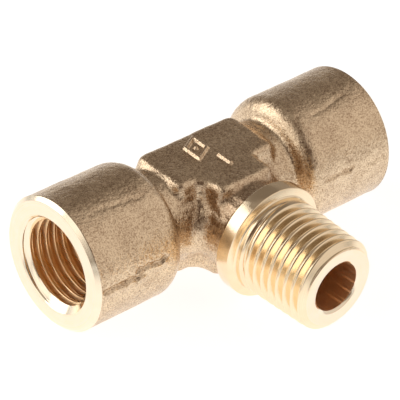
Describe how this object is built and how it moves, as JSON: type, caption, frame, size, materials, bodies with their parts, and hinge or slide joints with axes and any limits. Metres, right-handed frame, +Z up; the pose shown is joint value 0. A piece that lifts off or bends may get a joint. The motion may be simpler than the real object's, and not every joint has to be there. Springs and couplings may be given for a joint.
{
  "type": "pipe tee fitting",
  "caption": "Forged brass tee: two female pipe-thread ports in line, a male taper-thread branch at the side, and T-shaped pads above and below.",
  "frame": {"origin": "where the run axis and the branch axis cross", "axes": "+X along the two female ports, -Y out of the male branch, +Z up, square to both, out of the upper pad"},
  "size_m": [0.0516, 0.0349, 0.0186],
  "materials": {
    "brass": "blasted forging skin, with turned faces, band and threads left bright"
  },
  "bodies": {
    "root": {"tee_body": "brass"}
  },
  "joints": []
}
